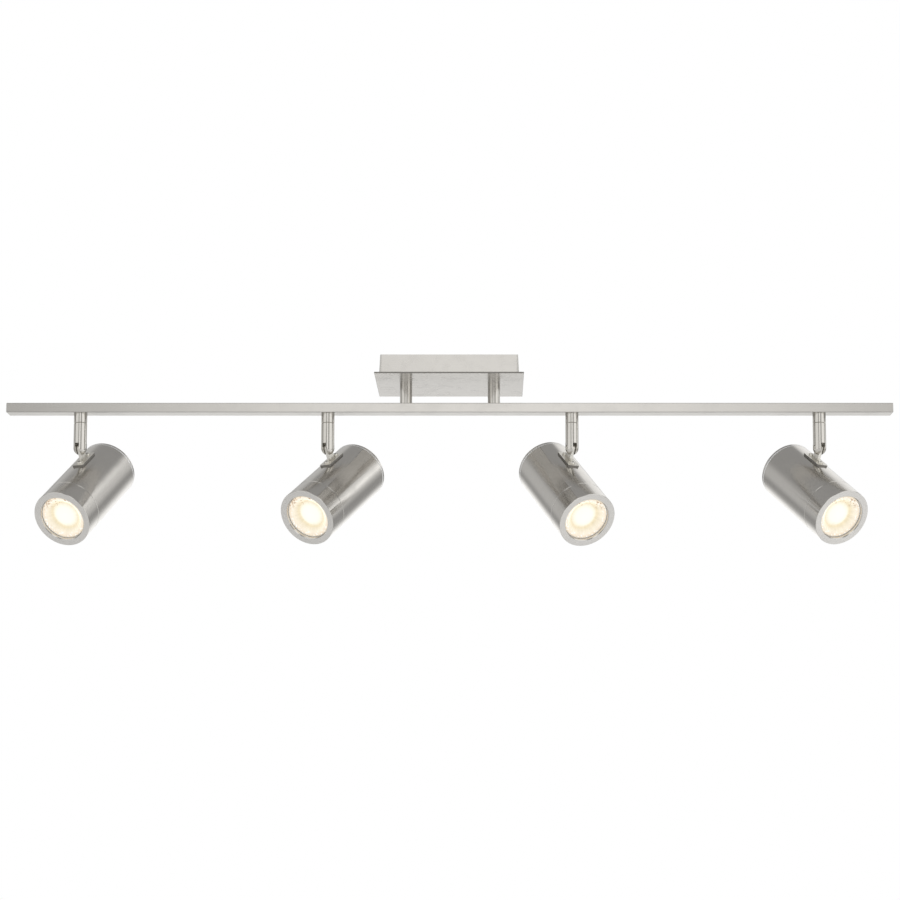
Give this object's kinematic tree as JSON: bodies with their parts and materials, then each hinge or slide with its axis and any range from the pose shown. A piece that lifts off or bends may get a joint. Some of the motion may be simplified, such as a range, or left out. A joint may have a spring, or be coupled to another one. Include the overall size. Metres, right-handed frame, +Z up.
{
  "type": "track lighting fixture",
  "caption": "Ceiling bar light in satin nickel: a rectangular canopy and two posts carry a slim bar, from which cylindrical spotlights hang on swivelling, tilting stems.",
  "frame": {"origin": "centre of the mounting bracket's upper face, on the ceiling plane", "axes": "+Z up into the ceiling, +X along the bar to the right, -Y towards the front"},
  "size_m": [0.935, 0.1375, 0.1944],
  "materials": {
    "nickel_canopy": "satin nickel plate, fine straight brushing",
    "nickel_bar": "satin nickel plate, brushed along the bar",
    "nickel_turned": "satin nickel on turned steel, semi-gloss",
    "nickel_cast": "bright nickel on a cast knuckle",
    "nickel_housing": "satin nickel, brushed along the barrel",
    "nickel_bezel": "satin nickel, matt face ring",
    "zinc_steel": "zinc-plated steel",
    "screw_steel": "nickel-plated screws",
    "ground_green": "green ground screw",
    "terminal_plastic": "moulded nylon terminal strip",
    "lead_sleeve": "black insulated leads",
    "lamp_white": "white lamp body with a bright reflector cup",
    "lamp_glass": "clear faceted rim round a glowing centre",
    "ceramic": "unglazed ceramic holder with a steel strap"
  },
  "bodies": {
    "fixture": {"canopy_pan": "nickel_canopy", "canopy_plate": "nickel_canopy", "mounting_bracket": "zinc_steel", "canopy_set_screws": "screw_steel", "ground_screw": "ground_green", "terminal_block": "terminal_plastic", "post_left": "nickel_turned", "post_right": "nickel_turned", "post_nipples": "zinc_steel", "post_nuts": "zinc_steel", "bar": "nickel_bar", "end_cap_left": "nickel_bar", "end_cap_right": "nickel_bar", "stem_collars": "nickel_turned", "bar_wiring": "lead_sleeve"},
    "swivel_1": {"stem_1": "nickel_turned", "swivel_nut_1": "zinc_steel", "tilt_screw_1": "screw_steel"},
    "spot_1": {"knuckle_1": "nickel_cast", "foot_screws_1": "screw_steel", "housing_1": "nickel_housing", "lamp_body_1": "lamp_white", "lamp_lens_1": "lamp_glass", "lampholder_1": "ceramic", "head_leads_1": "lead_sleeve"},
    "front_1": {"bezel_1": "nickel_bezel"},
    "swivel_2": {"stem_2": "nickel_turned", "swivel_nut_2": "zinc_steel", "tilt_screw_2": "screw_steel"},
    "spot_2": {"knuckle_2": "nickel_cast", "foot_screws_2": "screw_steel", "housing_2": "nickel_housing", "lamp_body_2": "lamp_white", "lamp_lens_2": "lamp_glass", "lampholder_2": "ceramic", "head_leads_2": "lead_sleeve"},
    "front_2": {"bezel_2": "nickel_bezel"},
    "swivel_3": {"stem_3": "nickel_turned", "swivel_nut_3": "zinc_steel", "tilt_screw_3": "screw_steel"},
    "spot_3": {"knuckle_3": "nickel_cast", "foot_screws_3": "screw_steel", "housing_3": "nickel_housing", "lamp_body_3": "lamp_white", "lamp_lens_3": "lamp_glass", "lampholder_3": "ceramic", "head_leads_3": "lead_sleeve"},
    "front_3": {"bezel_3": "nickel_bezel"},
    "swivel_4": {"stem_4": "nickel_turned", "swivel_nut_4": "zinc_steel", "tilt_screw_4": "screw_steel"},
    "spot_4": {"knuckle_4": "nickel_cast", "foot_screws_4": "screw_steel", "housing_4": "nickel_housing", "lamp_body_4": "lamp_white", "lamp_lens_4": "lamp_glass", "lampholder_4": "ceramic", "head_leads_4": "lead_sleeve"},
    "front_4": {"bezel_4": "nickel_bezel"}
  },
  "joints": [
    {"name": "pan_1", "type": "hinge", "parent": "fixture", "child": "swivel_1", "pos_m": [-0.3905, 0, -0.089], "axis": [0, 0, 1], "range_deg": [-149.5, 190.5]},
    {"name": "tilt_1", "type": "hinge", "parent": "swivel_1", "child": "spot_1", "pos_m": [-0.3905, 0, -0.089], "axis": [0.9367, -0.3502, 0], "range_deg": [-55.7, 34.3]},
    {"name": "bezel_1_off", "type": "slide", "parent": "spot_1", "child": "front_1", "axis": [-0.2844, -0.7607, -0.5835], "range_m": [0, 0.03]},
    {"name": "pan_2", "type": "hinge", "parent": "fixture", "child": "swivel_2", "pos_m": [-0.129, 0, -0.089], "axis": [0, 0, 1], "range_deg": [-139.5, 200.5]},
    {"name": "tilt_2", "type": "hinge", "parent": "swivel_2", "child": "spot_2", "pos_m": [-0.129, 0, -0.089], "axis": [0.8616, -0.5075, 0], "range_deg": [-53.5, 36.5]},
    {"name": "bezel_2_off", "type": "slide", "parent": "spot_2", "child": "front_2", "axis": [-0.4232, -0.7185, -0.5519], "range_m": [0, 0.03]},
    {"name": "pan_3", "type": "hinge", "parent": "fixture", "child": "swivel_3", "pos_m": [0.129, 0, -0.089], "axis": [0, 0, 1], "range_deg": [-196.5, 143.5]},
    {"name": "tilt_3", "type": "hinge", "parent": "swivel_3", "child": "spot_3", "pos_m": [0.129, 0, -0.089], "axis": [0.8949, 0.4462, 0], "range_deg": [-57, 33]},
    {"name": "bezel_3_off", "type": "slide", "parent": "spot_3", "child": "front_3", "axis": [0.3563, -0.7147, -0.6018], "range_m": [0, 0.03]},
    {"name": "pan_4", "type": "hinge", "parent": "fixture", "child": "swivel_4", "pos_m": [0.3905, 0, -0.089], "axis": [0, 0, 1], "range_deg": [-198, 142]},
    {"name": "tilt_4", "type": "hinge", "parent": "swivel_4", "child": "spot_4", "pos_m": [0.3905, 0, -0.089], "axis": [0.8829, 0.4695, 0], "range_deg": [-53.7, 36.3]},
    {"name": "bezel_4_off", "type": "slide", "parent": "spot_4", "child": "front_4", "axis": [0.3906, -0.7346, -0.5548], "range_m": [0, 0.03]}
  ]
}
